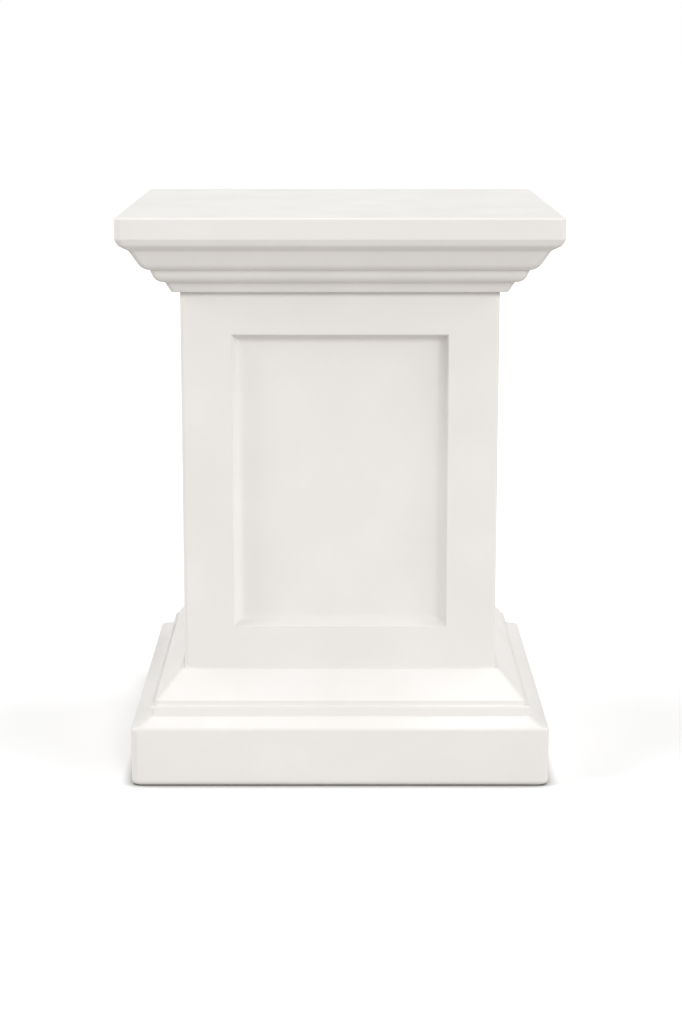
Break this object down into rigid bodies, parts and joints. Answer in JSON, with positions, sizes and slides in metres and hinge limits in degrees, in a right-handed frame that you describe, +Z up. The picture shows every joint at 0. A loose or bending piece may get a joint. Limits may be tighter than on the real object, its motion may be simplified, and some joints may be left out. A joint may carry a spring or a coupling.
{
  "type": "square pedestal",
  "caption": "Square off-white pedestal with a moulded cap, a shaft with a sunk panel in each side and a moulded base, to stand an urn, bust or vase on.",
  "frame": {"origin": "centre of the underside, on the surface it stands on", "axes": "+Z up through the centre of the top face; each side of the square faces along X or Y, and the side in the picture faces -Y"},
  "size_m": [0.464, 0.464, 0.61],
  "materials": {
    "casting": "smooth off-white masonry paint, matt with a faint sheen"
  },
  "bodies": {
    "root": {"pedestal": "casting"}
  },
  "joints": []
}
